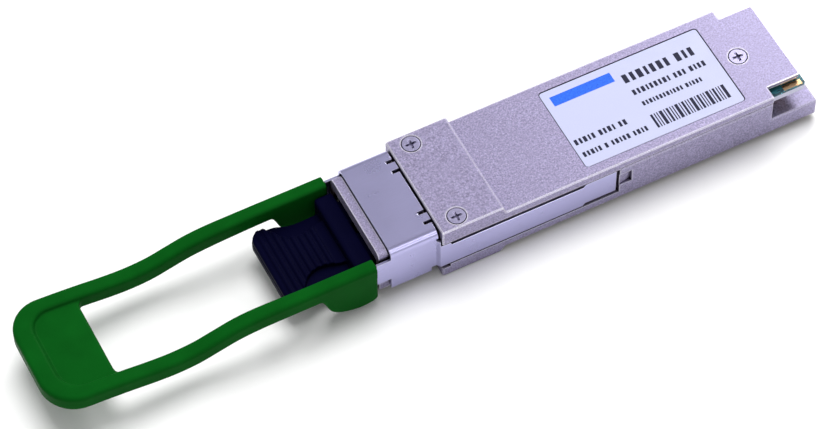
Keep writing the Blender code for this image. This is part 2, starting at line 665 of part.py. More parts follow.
def on_guide(name, where, *pieces):
    """An empty on the slide's axis that carries the pieces that move together."""
    guide = bpy.data.objects.new(name, None)
    guide.empty_display_size = 0.005
    guide.location = place(*where)
    PARTS.objects.link(guide)
    bpy.context.view_layer.update()
    for piece in pieces:
        piece.parent = guide
        piece.matrix_parent_inverse = guide.matrix_world.inverted()


on_guide("pull_tab_slide", (-20.85, 0.0, 5.0), tab, slider)
on_guide("dust_plug_slide", (-20.3, 0.0, PORT_Z), plug)
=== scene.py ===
"""Looks of a pluggable optical transceiver module: die-cast shell, sheet slider, pull tab, dust plug.

Shapes are given in millimetres from the module's own datum, as its maker would: X = 0 at the
insertion stop shoulder, Z = 0 at the underside of the in-cage segment, +X to the card edge, +Z up.
The datum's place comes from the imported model.
"""
import math

import bmesh
import bpy
from mathutils import Matrix, Vector


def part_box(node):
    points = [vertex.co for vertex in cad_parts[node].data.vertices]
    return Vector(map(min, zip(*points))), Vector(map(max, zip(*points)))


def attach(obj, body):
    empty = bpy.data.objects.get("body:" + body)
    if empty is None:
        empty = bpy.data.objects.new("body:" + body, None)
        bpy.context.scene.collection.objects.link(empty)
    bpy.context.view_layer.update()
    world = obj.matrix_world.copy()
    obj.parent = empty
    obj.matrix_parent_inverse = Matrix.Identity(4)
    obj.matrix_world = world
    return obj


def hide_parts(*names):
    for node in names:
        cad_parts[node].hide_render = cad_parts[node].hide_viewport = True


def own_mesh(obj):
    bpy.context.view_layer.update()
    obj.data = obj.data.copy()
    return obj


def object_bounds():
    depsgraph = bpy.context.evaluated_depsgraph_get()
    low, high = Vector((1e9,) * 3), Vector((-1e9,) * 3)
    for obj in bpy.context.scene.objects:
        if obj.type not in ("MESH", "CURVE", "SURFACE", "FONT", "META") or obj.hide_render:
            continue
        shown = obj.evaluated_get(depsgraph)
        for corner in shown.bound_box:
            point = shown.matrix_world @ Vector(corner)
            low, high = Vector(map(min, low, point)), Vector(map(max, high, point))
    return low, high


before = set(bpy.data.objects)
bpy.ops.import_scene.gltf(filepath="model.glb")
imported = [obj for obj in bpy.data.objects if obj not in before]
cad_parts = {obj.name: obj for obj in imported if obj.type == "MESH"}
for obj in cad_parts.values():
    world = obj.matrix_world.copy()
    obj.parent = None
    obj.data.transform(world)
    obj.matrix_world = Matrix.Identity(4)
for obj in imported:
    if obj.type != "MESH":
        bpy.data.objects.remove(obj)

CAD_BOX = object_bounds()
MM = 0.001

# ---- the module's datum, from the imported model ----
BASE_LOW, BASE_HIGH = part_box("base_housing")
REAR_LENGTH = 52.4          # stop shoulder to rear end
HEAD_DROP = 0.9             # the head's underside below the in-cage segment's
ORIGIN = Vector((BASE_HIGH.x - REAR_LENGTH * MM, 0.0, BASE_LOW.z + HEAD_DROP * MM))


def at(x, y, z):
    """A place in the frame, in metres, from millimetres in the datum."""
    return ORIGIN + Vector((x, y, z)) * MM


def datum_box(node):
    """A CAD node's lowest and highest corner, in millimetres from the datum."""
    low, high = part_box(node)
    return (low - ORIGIN) / MM, (high - ORIGIN) / MM


def clamp(share):
    return min(1.0, max(0.0, share))


# ==== mesh helpers ====
def new_object(name, data):
    made = bpy.data.objects.new(name, data)
    bpy.context.scene.collection.objects.link(made)
    return made


def mesh_object(name, points, faces):
    """A mesh from points in datum millimetres, with its doubled points joined and its faces turned alike."""
    mesh = bpy.data.meshes.new(name)
    mesh.from_pydata([at(*p) for p in points], [], faces)
    work = bmesh.new()
    work.from_mesh(mesh)
    bmesh.ops.remove_doubles(work, verts=work.verts, dist=1e-8)
    bmesh.ops.recalc_face_normals(work, faces=work.faces)
    work.to_mesh(mesh)
    work.free()
    return new_object(name, mesh)


def block(name, x0, x1, y0, y1, z0, z1):
    points = [(x, y, z) for x in (x0, x1) for y in (y0, y1) for z in (z0, z1)]
    faces = [(0, 1, 3, 2), (4, 6, 7, 5), (0, 4, 5, 1), (2, 3, 7, 6), (0, 2, 6, 4), (1, 5, 7, 3)]
    return mesh_object(name, points, faces)


def prism(name, outline, axis, low, high):
    """An outline pushed along an axis. The outline's pairs are the other two axes, in X, Y, Z order."""
    order = {"X": lambda a, b, c: (c, a, b), "Y": lambda a, b, c: (a, c, b), "Z": lambda a, b, c: (a, b, c)}
    point = order[axis]
    count = len(outline)
    points = [point(a, b, low) for a, b in outline] + [point(a, b, high) for a, b in outline]
    sides = [(i, (i + 1) % count, count + (i + 1) % count, count + i) for i in range(count)]
    ends = [tuple(range(count)), tuple(range(2 * count - 1, count - 1, -1))]
    return mesh_object(name, points, sides + ends)


def loft(name, rings):
    """A skin over rings of points, all of the same count, closed by a face at each end."""
    count = len(rings[0])
    points = [point for ring in rings for point in ring]
    faces = []
    for i in range(len(rings) - 1):
        for k in range(count):
            n = (k + 1) % count
            faces.append((i * count + k, i * count + n, (i + 1) * count + n, (i + 1) * count + k))
    faces.append(tuple(range(count)))
    faces.append(tuple(range(len(points) - 1, len(points) - count - 1, -1)))
    return mesh_object(name, points, faces)


def turned(name, profile, x, y, steps):
    """A profile of (height, radius) turned round a vertical axis."""
    turns = [2 * math.pi * k / steps for k in range(steps)]
    rings = []
    for z, radius in profile:
        rings.append([(x + radius * math.cos(turn), y + radius * math.sin(turn), z) for turn in turns])
    return loft(name, rings)


def arc(centre, radius, start, end, steps):
    """Points on an arc, angles in degrees, both ends included."""
    turns = [math.radians(start + (end - start) * k / steps) for k in range(steps + 1)]
    return [(centre[0] + radius * math.cos(t), centre[1] + radius * math.sin(t)) for t in turns]


def mirrored(outline):
    """An outline's half in (x, y), closed with its mirror image across y = 0."""
    return outline + [(x, -y) for x, y in reversed(outline)]


def bevel(made, width, segments=3, angle=35):
    step = made.modifiers.new("edge_rounding", "BEVEL")
    step.width = width * MM
    step.segments = segments
    step.limit_method = "ANGLE"
    step.angle_limit = math.radians(angle)
    step.harden_normals = False
    return made


def settle(made):
    """Turns the modifiers' result into the object's own mesh."""
    bpy.context.view_layer.update()
    seen = made.evaluated_get(bpy.context.evaluated_depsgraph_get())
    mesh = bpy.data.meshes.new_from_object(seen)
    made.modifiers.clear()
    made.data = mesh
    return made


def remove(*pieces):
    for piece in pieces:
        bpy.data.objects.remove(piece, do_unlink=True)


def combine(made, operation, tools):
    for tool in tools:
        step = made.modifiers.new(operation.lower(), "BOOLEAN")
        step.operation = operation
        step.solver = "EXACT"
        step.object = tool
    settle(made)
    remove(*tools)
    return made


def carve(made, *tools):
    """Cuts the tools out of a shell."""
    return combine(made, "DIFFERENCE", tools)


def trim(made, *tools):
    """Keeps what lies inside the tools."""
    return combine(made, "INTERSECT", tools)


def merge(name, *pieces):
    """One object that holds the closed shells of several."""
    work = bmesh.new()
    for piece in pieces:
        settle(piece)
        work.from_mesh(piece.data)
    mesh = bpy.data.meshes.new(name)
    work.to_mesh(mesh)
    work.free()
    remove(*pieces)
    return new_object(name, mesh)


def moulded(made, voxel, smoothing):
    """Fuses overlapping shells into one skin with soft inner and outer corners, as a mould leaves them."""
    skin = made.modifiers.new("skin", "REMESH")
    skin.mode = "VOXEL"
    skin.voxel_size = voxel * MM
    soften = made.modifiers.new("soften", "SMOOTH")
    soften.factor = 0.5
    soften.iterations = smoothing
    settle(made)
    made.data.shade_smooth()
    return made


def smooth(made, angle):
    """Shades smoothly across edges that turn less than angle degrees."""
    made.data.shade_smooth()
    made.data.set_sharp_from_angle(angle=math.radians(angle))
    return made


def smooth_and_flat(made, angle):
    """As smooth, with broad faces kept flat next to small bevels."""
    settle(made)
    smooth(made, angle)
    made.modifiers.new("flat_faces", "WEIGHTED_NORMAL").keep_sharp = True
    return settle(made)


# ==== material helpers ====
SKY_SAMPLES = 8             # rays with which a material feels for edges and gaps
MIX_COLOURS = (6, 7)        # the mix node's colour inputs and its colour output, which share their names
MIX_RESULT = 2
OPAQUE = 1.0


class Finish:
    """A Principled material whose textures lie in the object's own space, with sizes in millimetres."""

    def __init__(self, name, metallic=0.0, **sockets):
        self.material = bpy.data.materials.new(name)
        self.material.use_nodes = True
        self.tree = self.material.node_tree
        self.shader = self.tree.nodes["Principled BSDF"]
        self.shader.inputs["Metallic"].default_value = metallic
        for socket, value in sockets.items():
            self.shader.inputs[socket.replace("_", " ")].default_value = value
        self.place = self.node("ShaderNodeTexCoord").outputs["Object"]
        self.relief = None

    def node(self, kind, **settings):
        made = self.tree.nodes.new(kind)
        for key, value in settings.items():
            setattr(made, key, value)
        return made

    def link(self, source, target):
        self.tree.links.new(source, target)

    def noise(self, size, detail=2.0, stretch=(1.0, 1.0, 1.0)):
        """Soft noise whose lumps are about size millimetres across."""
        mapping = self.node("ShaderNodeMapping")
        mapping.inputs["Scale"].default_value = stretch
        self.link(self.place, mapping.inputs["Vector"])
        made = self.node("ShaderNodeTexNoise")
        made.inputs["Scale"].default_value = 1 / (size * MM)
        made.inputs["Detail"].default_value = detail
        self.link(mapping.outputs["Vector"], made.inputs["Vector"])
        return made.outputs["Fac"]

    def cells(self, size):
        """Distance to the nearest of the points scattered about size millimetres apart."""
        made = self.node("ShaderNodeTexVoronoi")
        made.inputs["Scale"].default_value = 1 / (size * MM)
        self.link(self.place, made.inputs["Vector"])
        return made.outputs["Distance"]

    def span(self, value, low, high, out_low=0.0, out_high=1.0):
        """Goes from out_low to out_high as value goes from low to high."""
        made = self.node("ShaderNodeMapRange")
        made.inputs["From Min"].default_value = low
        made.inputs["From Max"].default_value = high
        made.inputs["To Min"].default_value = out_low
        made.inputs["To Max"].default_value = out_high
        self.link(value, made.inputs["Value"])
        return made.outputs["Result"]

    def mix(self, share, one, two):
        """Colour one at share 0, colour two at share 1. Each is a colour or a socket."""
        made = self.node("ShaderNodeMix", data_type="RGBA")
        self.link(share, made.inputs["Factor"])
        for place, value in zip(MIX_COLOURS, (one, two)):
            if isinstance(value, tuple):
                made.inputs[place].default_value = (*value, OPAQUE)
            else:
                self.link(value, made.inputs[place])
        return made.outputs[MIX_RESULT]

    def math(self, operation, one, two):
        made = self.node("ShaderNodeMath", operation=operation)
        for socket, value in zip(made.inputs, (one, two)):
            if isinstance(value, float):
                socket.default_value = value
            else:
                self.link(value, socket)
        return made.outputs["Value"]

    def ridges(self, reach):
        """1 on outer edges, 0 from reach millimetres away from them and in inner corners."""
        depth = self.node("ShaderNodeAmbientOcclusion", samples=SKY_SAMPLES, inside=True, only_local=True)
        depth.inputs["Distance"].default_value = reach * MM
        flat, edge = 0.98, 0.74
        return self.span(depth.outputs["AO"], flat, edge)

    def beyond(self, low, high, margin):
        """0 over a box and margin millimetres round it, seen from above, and 1 beyond."""
        spot = self.node("ShaderNodeSeparateXYZ")
        self.link(self.place, spot.inputs["Vector"])
        middle = (low + high) / 2
        half = (high - low) / 2 + Vector((margin, margin, 0.0)) * MM
        along = self.math("ABSOLUTE", self.math("SUBTRACT", spot.outputs["X"], middle.x), 0.0)
        across = self.math("ABSOLUTE", self.math("SUBTRACT", spot.outputs["Y"], middle.y), 0.0)
        past_end = self.math("GREATER_THAN", along, half.x)
        past_side = self.math("GREATER_THAN", across, half.y)
        return self.math("MAXIMUM", past_end, past_side)

    def shelter(self, reach, closed, open_sky):
        """0 where gaps of about reach millimetres leave a share closed of the sky, 1 at share open_sky."""
        sky = self.node("ShaderNodeAmbientOcclusion", samples=SKY_SAMPLES)
        sky.inputs["Distance"].default_value = reach * MM
        return self.span(sky.outputs["AO"], closed, open_sky)

    def colour(self, value):
        self.link(value, self.shader.inputs["Base Color"])

    def roughness(self, value):
        self.link(value, self.shader.inputs["Roughness"])

    def bump(self, height, depth):
        """Adds relief of depth millimetres where height goes from 0 to 1."""
        made = self.node("ShaderNodeBump")
        made.inputs["Strength"].default_value = 1.0
        made.inputs["Distance"].default_value = depth * MM
        self.link(height, made.inputs["Height"])
        if self.relief:
            self.link(self.relief, made.inputs["Normal"])
        self.relief = made.outputs["Normal"]
        self.link(self.relief, self.shader.inputs["Normal"])


def shade(colour, factor):
    return tuple(c * factor for c in colour)


# ==== materials ====
def die_cast(name, highlight_strength):
    """Nickel-plated zinc casting with a lavender cast: matt grain, bright specks, a painted highlight on its
    outer edges, painted shade under overhangs and in its gaps.

    The second argument sets how strong the painted highlight on its outer edges is, from 0 to 1. The label's
    surround gets none.
    """
    ground = (0.32, 0.29, 0.445)
    speck = (0.62, 0.58, 0.78)
    # colour of the painted highlight on outer edges
    painted_highlight = (0.97, 0.95, 1.0)
    # colour of the painted shade under overhangs, tinted brown as a painted reflection of the gold contacts
    # above the ledge
    shaded = (0.085, 0.034, 0.026)
    # colour of the painted shade in narrow gaps, crevices and along the floor contact
    gap = (0.012, 0.010, 0.02)
    f = Finish(name, metallic=0.6, Specular_IOR_Level=0.2)
    grain = f.noise(0.26, 2.0)
    cloud = f.noise(4.0, 2.0)
    specks = f.span(f.cells(0.50), 0.26, 0.08)
    tint = f.mix(f.span(grain, 0.32, 0.68), shade(ground, 0.66), shade(ground, 1.34))
    tint = f.mix(f.span(cloud, 0.3, 0.7, 0.0, 0.35), tint, shade(ground, 0.94))
    tint = f.mix(f.math("MULTIPLY", specks, 0.5), tint, speck)
    # painted highlight on outer edges, kept off the label's surround
    painted_highlight_mask = f.math("MULTIPLY", f.ridges(0.24), f.beyond(*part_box("cover_label"), 0.7))
    tint = f.mix(f.math("MULTIPLY", painted_highlight_mask, highlight_strength), tint, painted_highlight)
    # painted shade where overhangs close off much of the sky, such as the ledge under the card
    tint = f.mix(f.shelter(3.2, 0.12, 0.5), shaded, tint)
    # painted shade in narrow gaps and crevices
    f.colour(f.mix(f.shelter(0.8, 0.3, 0.72), gap, tint))
    f.roughness(f.span(grain, 0.3, 0.7, 0.34, 0.48))
    f.bump(grain, 0.010)
    return f.material


def slider_steel():
    """Rolled stainless sheet, satin, with faint rolling lines along the module, a painted highlight on its
    edges and painted shade in its gaps.
    """
    ground = (0.45, 0.435, 0.69)
    f = Finish("slider_sheet_steel", metallic=1.0)
    lines = f.noise(0.10, 3.0, stretch=(0.04, 1.0, 1.0))
    cloud = f.noise(3.0)
    tint = f.mix(f.span(lines, 0.3, 0.7), shade(ground, 0.97), shade(ground, 1.03))
    # painted highlight on the sheet's edges
    tint = f.mix(f.math("MULTIPLY", f.ridges(0.12), 0.5), tint, (0.88, 0.87, 1.0))
    # painted shade in narrow gaps
    f.colour(f.mix(f.shelter(0.7, 0.3, 0.72), (0.015, 0.015, 0.03), tint))
    f.roughness(f.span(cloud, 0.3, 0.7, 0.27, 0.31))
    f.bump(lines, 0.0003)
    return f.material


def plated_steel(name, ground, low, high):
    """A small turned or formed steel piece with fine tool marks, a painted highlight on its edges and
    painted shade in its recesses.
    """
    f = Finish(name, metallic=1.0)
    marks = f.noise(0.12, 3.0)
    tint = f.mix(f.span(marks, 0.3, 0.7), shade(ground, 0.88), shade(ground, 1.08))
    # painted highlight on edges
    tint = f.mix(f.math("MULTIPLY", f.ridges(0.10), 0.6), tint, shade(ground, 1.6))
    # painted shade in recesses and gaps
    f.colour(f.mix(f.shelter(0.5, 0.3, 0.72), shade(ground, 0.04), tint))
    f.roughness(f.span(marks, 0.3, 0.7, low, high))
    f.bump(marks, 0.002)
    return f.material


def moulded_plastic(name, ground, worn, rough, grain_depth):
    """Injection-moulded plastic with a fine spark-eroded grain, a little worn on its high spots."""
    f = Finish(name, IOR=1.07)
    grain = f.noise(0.12, 2.0)
    cloud = f.noise(5.0, 2.0)
    tint = f.mix(f.span(cloud, 0.3, 0.7), shade(ground, 0.88), shade(ground, 1.1))
    tint = f.mix(f.span(grain, 0.3, 0.7, 0.0, 0.25), tint, worn)
    f.colour(tint)
    f.roughness(f.span(grain, 0.3, 0.7, rough - 0.06, rough + 0.06))
    f.bump(grain, grain_depth)
    f.bump(cloud, 0.03)
    return f.material


def label_film():
    """Printed polyester film: faint blue-white, satin, with the slight ripple of the glue below."""
    f = Finish("label_film_satin", Specular_IOR_Level=0.5)
    ripple = f.noise(2.5, 2.0)
    fibre = f.noise(0.15, 2.0)
    f.colour(f.mix(f.span(fibre, 0.3, 0.7), (0.46, 0.48, 0.68), (0.50, 0.52, 0.74)))
    f.roughness(f.span(ripple, 0.3, 0.7, 0.34, 0.46))
    f.bump(ripple, 0.02)
    return f.material


def ink(name, ground):
    """Thermal-transfer ink, a little uneven in its blackness."""
    f = Finish(name, Specular_IOR_Level=0.15)
    patch = f.noise(0.3, 3.0)
    f.colour(f.mix(f.span(patch, 0.3, 0.7), ground, shade(ground, 1.6)))
    f.roughness(f.span(patch, 0.3, 0.7, 0.35, 0.5))
    f.bump(patch, 0.002)
    return f.material


def solder_mask():
    """Circuit board: teal solder mask over copper traces on its faces, woven glass laminate at its edges."""
    bare = (0.002, 0.03, 0.045)
    over_copper = (0.012, 0.12, 0.15)
    via = (0.10, 0.46, 0.56)
    f = Finish("board_solder_mask", Specular_IOR_Level=0.55)
    traces = f.noise(0.35, 1.0, stretch=(0.25, 1.0, 0.2))
    weave = f.noise(0.1, 2.0, stretch=(1.0, 1.0, 4.0))
    mask = f.mix(f.span(traces, 0.48, 0.54), bare, over_copper)
    mask = f.mix(f.span(f.cells(0.6), 0.20, 0.12), mask, via)
    laminate = f.mix(f.span(weave, 0.3, 0.7), (0.44, 0.44, 0.58), (0.70, 0.70, 0.88))
    facing = f.node("ShaderNodeSeparateXYZ")
    f.link(f.node("ShaderNodeNewGeometry").outputs["True Normal"], facing.inputs["Vector"])
    level = f.math("ABSOLUTE", facing.outputs["Z"], 0.0)
    f.colour(f.mix(f.span(level, 0.4, 0.6), laminate, mask))
    f.roughness(f.span(traces, 0.4, 0.6, 0.28, 0.4))
    f.bump(f.span(traces, 0.48, 0.54), 0.02)
    return f.material


def gold_plate():
    """Soft gold plating over nickel, with fine scuffs from the mating contacts."""
    ground = (0.64, 0.42, 0.22)
    f = Finish("gold_plating", metallic=1.0)
    scuffs = f.noise(0.08, 3.0, stretch=(0.1, 1.0, 1.0))
    f.colour(f.mix(f.span(scuffs, 0.35, 0.7), shade(ground, 0.85), shade(ground, 1.15)))
    f.roughness(f.span(scuffs, 0.3, 0.7, 0.24, 0.4))
    f.bump(scuffs, 0.001)
    return f.material


def matt(name, ground, rough, size, depth):
    """A dull, even material with a fine grain: rubber, pad, film or moulding compound."""
    f = Finish(name, Specular_IOR_Level=0.35)
    grain = f.noise(size, 3.0)
    f.colour(f.mix(f.span(grain, 0.3, 0.7), shade(ground, 0.8), shade(ground, 1.2)))
    f.roughness(f.span(grain, 0.3, 0.7, rough - 0.08, rough + 0.08))
    f.bump(grain, depth)
    return f.material


def floor_paper():
    """Pale backdrop paper."""
    f = Finish("studio_paper", Specular_IOR_Level=0.2)
    fibre = f.noise(3.0, 3.0)
    f.colour(f.mix(fibre, (0.90, 0.90, 0.90), (0.93, 0.93, 0.93)))
    f.shader.inputs["Roughness"].default_value = 0.9
    return f.material


COVER_CASTING = die_cast("cover_nickel_casting", 0.95)
BASE_CASTING = die_cast("base_nickel_casting", 0.35)
SLIDER_STEEL = slider_steel()
FASTENER = plated_steel("fastener_plated_steel", (0.40, 0.375, 0.56), 0.34, 0.46)
BARREL_STEEL = plated_steel("barrel_turned_steel", (0.60, 0.60, 0.64), 0.18, 0.30)
GREEN = moulded_plastic(
    "green_moulded_plastic", (0.0024, 0.074, 0.0068), (0.0034, 0.094, 0.009), 0.36, 0.004,
)
BLACK = moulded_plastic(
    "black_moulded_plastic", (0.0016, 0.0016, 0.0130), (0.0026, 0.0026, 0.017), 0.40, 0.005,
)
LABEL = label_film()
INK = ink("ink_black", (0.012, 0.012, 0.030))
INK_BLUE = ink("ink_blue", (0.02, 0.10, 0.58))
BOARD = solder_mask()
GOLD = gold_plate()
ZIRCONIA = matt("zirconia_white", (0.86, 0.86, 0.82), 0.25, 0.1, 0.0005)
POLYIMIDE = matt("polyimide_amber", (0.50, 0.24, 0.05), 0.35, 0.2, 0.001)
PAD = matt("thermal_pad_grey", (0.40, 0.47, 0.55), 0.75, 0.25, 0.01)
RUBBER = matt("gasket_rubber", (0.05, 0.05, 0.055), 0.75, 0.15, 0.008)
CHIP = matt("chip_moulding", (0.018, 0.018, 0.02), 0.45, 0.08, 0.003)

CAD_LOOKS = {
    "base_housing": BASE_CASTING,
    "label_cover": COVER_CASTING,
    "cover_label": LABEL,
    "circuit_board": BOARD,
    "receptacle_block": BLACK,
    "receptacle_clip": SLIDER_STEEL,
    "chip_thermal_pad": PAD,
    "optics_thermal_pad": PAD,
    "cover_gasket_left": RUBBER,
    "cover_gasket_right": RUBBER,
    "laser_driver_chip": CHIP,
    "power_converter_chip": CHIP,
    "power_inductor": CHIP,
    "microcontroller_chip": CHIP,
    "transmit_retimer_chip": CHIP,
    "receive_retimer_chip": CHIP,
}
for way in ("transmit", "receive"):
    CAD_LOOKS[f"{way}_port_barrel"] = BARREL_STEEL
    CAD_LOOKS[f"{way}_fiber_stub"] = ZIRCONIA
    CAD_LOOKS[f"{way}_lens_ring"] = GOLD
    CAD_LOOKS[f"{way}_optical_box"] = GOLD
    CAD_LOOKS[f"{way}_box_lid"] = GOLD
    CAD_LOOKS[f"{way}_flex_circuit"] = POLYIMIDE


def wear(made, look):
    made.data.materials.clear()
    made.data.materials.append(look)


for node, look in CAD_LOOKS.items():
    wear(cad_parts[node], look)


def fit(made, look, body, slot, *nodes):
    """Gives a new piece its finish and its place in the frame."""
    wear(made, look)
    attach(made, body)
    if nodes:
        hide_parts(*nodes)


# ==== pull tab ====
TAB_LOW, TAB_HIGH = datum_box("pull_tab")
TAB_FRONT = TAB_LOW.x
TAB_REAR = TAB_HIGH.x
TAB_HALF = 9.3
TAB_THICK = 2.95
TAB_RIM = 3.0               # width of the rim round the end pad
TAB_EDGE = 0.62             # rounding of the loop's edges
CORNER_OUTER_R = 5.3        # the loop's front corners, outside and inside the rim
CORNER_INNER_R = 3.2
ARMS_FRONT = -65.0          # front end of the straight arms
ARM_BAND = 2.45             # width of each arm beside the finger opening
CHEEK_BAND = 2.2            # width of each arm beside the plug, and of the cheeks
NARROWING = -42.0           # where the arms start to narrow, and the length over which they do
NARROWING_LENGTH = 12.0
WINDOW_FRONT = -60.85       # front end of the finger opening
WINDOW_CORNER_R = 1.0
PAD_TOP = 0.7               # the end pad's faces: below the tab's upper surface and above its lower one
PAD_LOW = 0.4
FILLET_INSIDE = 0.05        # the corner fillets stay this far inside the pad's faces
OVERLAP = 0.4               # how far a fillet reaches into its arm
POCKET_FRONT = 0.3          # room round the slider's tongue in its cheek: in front, above and below, beside
POCKET_LEVEL = 0.2
POCKET_SIDE = 0.15
# height of the tab's upper surface along the arms
TAB_TOP = (
    (-71.5, 7.75), (-68.0, 7.5), (-64.0, 7.2), (-60.0, 6.8), (-56.0, 6.3), (-52.5, 6.08),
    (-49.0, 6.35), (-46.0, 7.1), (-43.0, 7.85), (-40.0, 8.2), (-36.0, 8.3), (-20.0, 8.3),
)


def tab_top(x):
    """A smooth height through the stations of TAB_TOP: one cubic between each two."""
    xs = [row[0] for row in TAB_TOP]
    zs = [row[1] for row in TAB_TOP]
    last = len(TAB_TOP) - 1
    if x <= xs[0]:
        return zs[0]
    if x >= xs[last]:
        return zs[last]

    def slope(k):
        before, after = max(k - 1, 0), min(k + 1, last)
        return (zs[after] - zs[before]) / (xs[after] - xs[before])

    i = max(k for k in range(last) if xs[k] <= x)
    span = xs[i + 1] - xs[i]
    t = (x - xs[i]) / span
    rise = 3 * t**2 - 2 * t**3
    leave = t**3 - 2 * t**2 + t
    arrive = t**3 - t**2
    return (1 - rise) * zs[i] + rise * zs[i + 1] + span * (leave * slope(i) + arrive * slope(i + 1))


def arm_band(x):
    """Width of the arm: it narrows from the finger opening to the cheeks."""
    share = clamp((x - NARROWING) / NARROWING_LENGTH)
    return ARM_BAND + (CHEEK_BAND - ARM_BAND) * share * share * (3 - 2 * share)


def tab_outline():
    """Matching outer and inner points round the loop, from the near arm's rear end to the far arm's."""
    inner_half = TAB_HALF - ARM_BAND
    inner_front = TAB_FRONT + TAB_RIM
    start, steps = TAB_REAR - 0.05, 90
    near = []
    for k in range(steps + 1):
        x = start + (ARMS_FRONT - start) * k / steps
        near.append(((x, -TAB_HALF), (x, arm_band(x) - TAB_HALF)))
    for turn in range(0, 91, 5):
        ahead, aside = 1 - math.sin(math.radians(turn)), 1 - math.cos(math.radians(turn))
        outer = (TAB_FRONT + CORNER_OUTER_R * ahead, CORNER_OUTER_R * aside - TAB_HALF)
        inner = (inner_front + CORNER_INNER_R * ahead, CORNER_INNER_R * aside - inner_half)
        near.append((outer, inner))
    far = [((outer[0], -outer[1]), (inner[0], -inner[1])) for outer, inner in reversed(near)]
    return near + far


def tab_loop():
    """The rim and both arms in one loft with rounded edges."""
    corner = arc((TAB_EDGE, TAB_EDGE), TAB_EDGE, 180, 270, 5)
    rings = []
    for pair in tab_outline():
        outer, inner = Vector(pair[0]), Vector(pair[1])
        inward = (inner - outer).normalized()
        spots = [(outer + inward * into, down) for into, down in corner]
        spots += [(inner - inward * into, down) for into, down in reversed(corner)]
        upper = [(spot.x, spot.y, tab_top(spot.x) - down) for spot, down in spots]
        lower = [(spot.x, spot.y, tab_top(spot.x) - TAB_THICK + down) for spot, down in reversed(spots)]
        rings.append(upper + lower)
    return loft("tab_loop", rings)


def tab_end_pad():
    """The thinner pad inside the loop's front end, with slanted front corners."""
    half = TAB_HALF - 1.45
    front_half, slant = 4.8, 2.2
    start, steps = TAB_FRONT + 2.2, 24
    rings = []
    for k in range(steps + 1):
        x = start + (WINDOW_FRONT - start) * k / steps
        y = min(half, front_half + slant * (x - start))
        top, low = tab_top(x) - PAD_TOP, tab_top(x) - TAB_THICK + PAD_LOW
        rings.append([(x, -y, top), (x, y, top), (x, y, low), (x, -y, low)])
    return bevel(loft("tab_end_pad", rings), 0.3, 3)


def tab_window_fillet(side):
    """Rounds the corner between the end pad and an arm."""
    edge = TAB_HALF - ARM_BAND
    centre = (WINDOW_FRONT + WINDOW_CORNER_R, edge - WINDOW_CORNER_R)
    pad_side = WINDOW_FRONT - 0.5
    outline = [(pad_side, centre[1]), (pad_side, edge + OVERLAP), (centre[0], edge + OVERLAP)]
    outline += arc(centre, WINDOW_CORNER_R, 90, 180, 6)
    outline = [(x, side * y) for x, y in outline]
    top = tab_top(WINDOW_FRONT) - PAD_TOP - FILLET_INSIDE
    low = tab_top(WINDOW_FRONT) - TAB_THICK + PAD_LOW + FILLET_INSIDE
    return prism("tab_window_fillet", outline, "Z", low, top)


def tab_cheek(side):
    """The plate beside the nose, with the pocket, open at the rear, that holds the slider's tongue."""
    low, high = sorted((side * (TAB_HALF - CHEEK_BAND), side * TAB_HALF))
    outline = [
        (TAB_REAR, 7.9), (TAB_REAR, 1.0), (-21.3, 0.6), (-22.2, 0.32), (-23.2, 0.22), (-24.1, 0.24),
        (-25.0, 0.38), (-26.0, 0.68), (-26.8, 1.02), (-27.5, 1.42), (-28.1, 1.9), (-28.5, 2.5),
        (-28.8, 3.2), (-29.15, 4.2), (-29.6, 5.2), (-30.2, 5.8), (-31.0, 6.2), (-31.0, 7.9),
    ]
    cheek = settle(bevel(prism("tab_cheek", outline, "Y", low, high), 0.35, 4))
    low, high = sorted((side * (SADDLE_HALF - SHEET - POCKET_SIDE), side * (SADDLE_HALF + POCKET_SIDE)))
    front, rear = TONGUE_FRONT - POCKET_FRONT, TAB_REAR + 1.0
    floor_z, roof_z = TONGUE_LOW - POCKET_LEVEL, TONGUE_TOP + POCKET_LEVEL
    return carve(cheek, block("tongue_pocket", front, rear, low, high, floor_z, roof_z))


def pull_tab():
    shells = [tab_loop(), tab_end_pad()]
    for side in (1, -1):
        shells.append(tab_window_fillet(side))
        shells.append(tab_cheek(side))
    tab = moulded(merge("pull_tab_moulding", *shells), 0.15, 3)
    fit(tab, GREEN, "pull_tab", "green_plastic", "pull_tab")


# ==== dust plug ====
PORT_PITCH = 6.25
PORT_Z = 4.1
PRONG_HALF = 2.15
PRONG_BORE_R = 1.6
RIBS_REAR = -25.0           # rear end of the thumb pad's ribs
RIB_PITCH = 1.05
RIB_COUNT = 8
RIB_LENGTH = 0.67
RIB_FLANK = 0.12            # length of each sloping side of a rib
RIB_BASE = 5.15             # top of the thumb pad between its ribs
RIB_TOP = 5.4


def plug_thumb_pad():
    """The upper half of the grip: a waisted pad with ribs across it."""
    ribs = [(-22.6, 3.6), (-22.6, RIB_BASE)]
    for k in range(RIB_COUNT):
        rear = RIBS_REAR - RIB_PITCH * k
        front = rear - RIB_LENGTH
        ribs += [(rear, RIB_BASE), (rear - RIB_FLANK, RIB_TOP)]
        ribs += [(front + RIB_FLANK, RIB_TOP), (front, RIB_BASE)]
    ribs += [(-33.6, RIB_BASE), (-34.0, 4.9), (-34.0, 3.6)]
    waist = [
        (-22.0, 4.0), (-24.2, 3.9), (-24.8, 3.7), (-25.4, 3.45), (-26.0, 3.27), (-26.7, 3.15), (-27.4, 3.12),
        (-28.0, 3.2), (-28.6, 3.4), (-29.2, 3.7), (-29.7, 4.1), (-30.1, 4.6), (-30.5, 5.15), (-30.9, 5.7),
    ]
    waist += arc((-32.2, 4.95), 1.7, 70, 180, 12)
    return trim(prism("thumb_pad", ribs, "Y", -7.2, 7.2), prism("waist", mirrored(waist), "Z", 2.0, 7.0))


